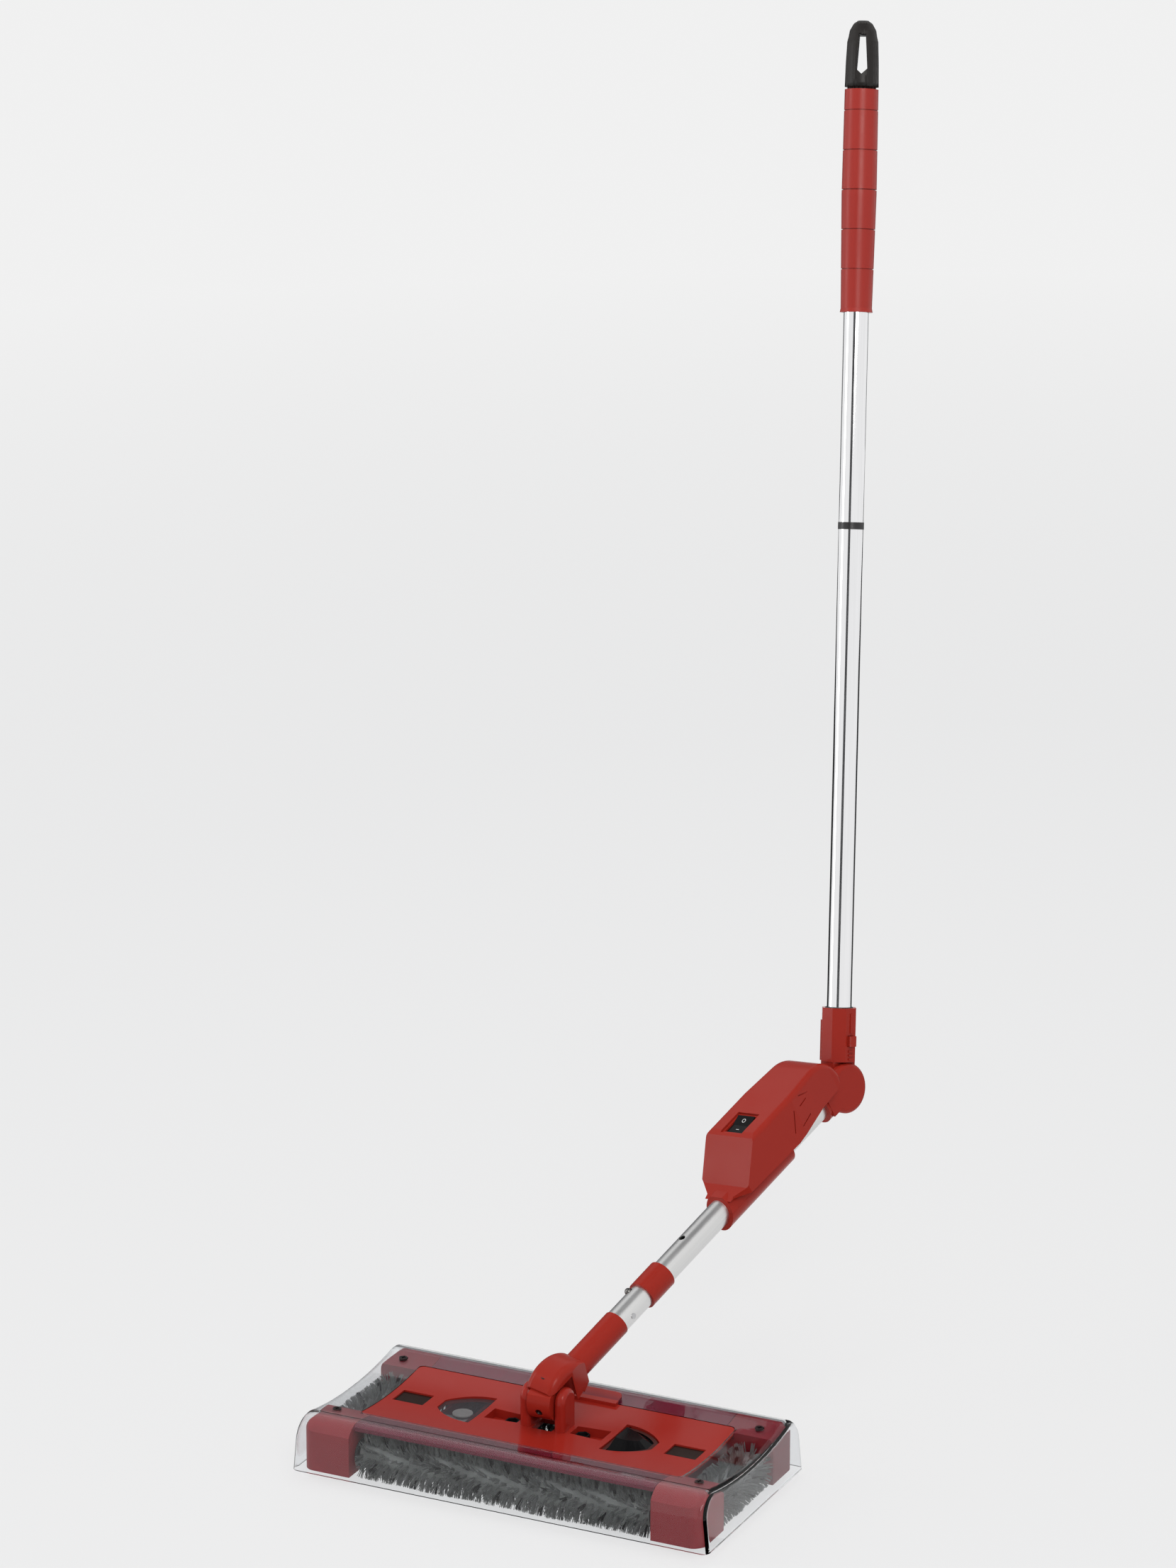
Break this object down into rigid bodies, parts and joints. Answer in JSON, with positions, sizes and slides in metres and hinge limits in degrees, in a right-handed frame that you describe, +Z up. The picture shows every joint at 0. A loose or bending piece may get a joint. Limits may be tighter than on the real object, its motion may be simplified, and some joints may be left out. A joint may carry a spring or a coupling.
{
  "type": "carpet sweeper",
  "caption": "Cordless swivel carpet sweeper: clear-covered head with geared edge brushes, drop-down dirt tray, folding pole, battery housing and grip.",
  "frame": {"origin": "on the floor under the middle of the head", "axes": "+X along the head to the right of someone behind the pole and looking forward, +Y back towards the user, +Z up"},
  "size_m": [0.335, 0.6225, 0.9887],
  "materials": {
    "clear_plastic": "clear, polished",
    "red_plastic": "gloss",
    "grip_plastic": "satin",
    "smoked_plastic": "smoked, polished",
    "grey_plastic": "satin",
    "black_plastic": "satin",
    "bristles": "rough",
    "gear_plastic": "satin",
    "steel": "turned",
    "satin_aluminium": "satin",
    "polished_aluminium": "mirror polished",
    "bronze": "sintered",
    "belt_rubber": "matte",
    "battery_wrap": "shrink wrap"
  },
  "bodies": {
    "head": {"clear_cover": "clear_plastic", "top_plate": "red_plastic", "tray_windows": "smoked_plastic", "motor_window": "grey_plastic", "lower_frame": "red_plastic", "gearbox_front_left": "red_plastic", "gearbox_front_right": "red_plastic", "gearbox_back_left": "red_plastic", "gearbox_back_right": "red_plastic", "floor_glides": "black_plastic", "corner_screws": "steel", "shaft_bushes": "bronze", "motor": "steel", "drive_belt": "belt_rubber", "tilt_pin": "steel"},
    "front_brush_unit": {"front_brush": "bristles", "front_brush_shaft": "steel", "front_brush_bevel_gears": "gear_plastic", "brush_pulley": "gear_plastic"},
    "back_brush_unit": {"back_brush": "bristles", "back_brush_shaft": "steel", "back_brush_bevel_gears": "gear_plastic"},
    "left_brush_unit": {"left_brush": "bristles", "left_brush_shaft": "steel", "left_brush_bevel_gears": "gear_plastic"},
    "right_brush_unit": {"right_brush": "bristles", "right_brush_shaft": "steel", "right_brush_bevel_gears": "gear_plastic"},
    "motor_pulley_unit": {"motor_pulley": "steel"},
    "tray": {"dirt_tray": "grey_plastic"},
    "pedal": {"release_pedal": "black_plastic"},
    "tilt_block": {"joint_block": "black_plastic"},
    "lower_pole": {"swivel_fork": "red_plastic", "swivel_pins": "steel", "stub_tube": "satin_aluminium", "stub_rivet": "steel", "joining_sleeve": "satin_aluminium", "tube_collar": "red_plastic", "lower_tube": "satin_aluminium", "battery_housing": "red_plastic", "housing_clasp": "red_plastic", "elbow_cheeks": "red_plastic", "battery_pack": "battery_wrap", "switch_frame": "black_plastic", "elbow_pin": "steel"},
    "button": {"snap_button": "steel"},
    "switch_rocker": {"rocker": "black_plastic"},
    "upper_pole": {"elbow_knuckle": "red_plastic", "upper_tube": "polished_aluminium", "joint_ring": "black_plastic", "top_tube": "polished_aluminium", "grip": "grip_plastic", "hanging_cap": "black_plastic"},
    "latch": {"elbow_latch": "black_plastic"}
  },
  "joints": [
    {"name": "front_brush_spin", "type": "hinge", "parent": "head", "child": "front_brush_unit", "pos_m": [0, -0.0625, 0.0205], "axis": [1, 0, 0], "continuous": true},
    {"name": "back_brush_spin", "type": "hinge", "parent": "head", "child": "back_brush_unit", "pos_m": [0, 0.0625, 0.0205], "axis": [1, 0, 0], "continuous": true},
    {"name": "left_brush_spin", "type": "hinge", "parent": "head", "child": "left_brush_unit", "pos_m": [-0.1445, 0, 0.0205], "axis": [0, 1, 0], "continuous": true},
    {"name": "right_brush_spin", "type": "hinge", "parent": "head", "child": "right_brush_unit", "pos_m": [0.1445, 0, 0.0205], "axis": [0, 1, 0], "continuous": true},
    {"name": "motor_spin", "type": "hinge", "parent": "head", "child": "motor_pulley_unit", "pos_m": [-0.1, -0.006, 0.0256], "axis": [1, 0, 0], "continuous": true},
    {"name": "tray_hinge", "type": "hinge", "parent": "head", "child": "tray", "pos_m": [0, 0.035, 0.0085], "axis": [1, 0, 0], "range_deg": [0, 60]},
    {"name": "pedal_hinge", "type": "hinge", "parent": "head", "child": "pedal", "pos_m": [0.0554, 0, 0.0392], "axis": [0, 1, 0], "range_deg": [0, 8], "stiffness_Nm_per_rad": 0.3, "springref_deg": -8.59},
    {"name": "base_tilt", "type": "hinge", "parent": "head", "child": "tilt_block", "pos_m": [0, 0, 0.062], "axis": [1, 0, 0], "range_deg": [-18.9, 66.1]},
    {"name": "base_swivel", "type": "hinge", "parent": "tilt_block", "child": "lower_pole", "pos_m": [0, 0.00274, 0.06321], "axis": [0, -0.4051, 0.9143], "range_deg": [-21.5, 48.5]},
    {"name": "button_press", "type": "slide", "parent": "lower_pole", "child": "button", "axis": [0.6876, 0.1356, -0.7134], "range_m": [0, 0.0024], "stiffness_N_per_m": 200, "springref_m": -0.004},
    {"name": "rocker_tip", "type": "hinge", "parent": "lower_pole", "child": "switch_rocker", "pos_m": [0.05096, 0.22636, 0.2031], "axis": [0.9299, -0.3226, 0.1769], "range_deg": [-16, 0]},
    {"name": "elbow_fold", "type": "hinge", "parent": "lower_pole", "child": "upper_pole", "pos_m": [0.08507, 0.32669, 0.20677], "axis": [0.9299, -0.3226, 0.1769], "range_deg": [-54.6, 8]},
    {"name": "latch_press", "type": "slide", "parent": "upper_pole", "child": "latch", "axis": [-0.9299, 0.3226, -0.1769], "range_m": [0, 0.002], "stiffness_N_per_m": 50, "springref_m": -0.004}
  ],
  "couplings": [
    {"joint": "back_brush_spin", "follows": "front_brush_spin", "ratio": -1},
    {"joint": "left_brush_spin", "follows": "front_brush_spin", "ratio": -1},
    {"joint": "right_brush_spin", "follows": "front_brush_spin", "ratio": 1},
    {"joint": "motor_spin", "follows": "front_brush_spin", "ratio": 2.25}
  ]
}
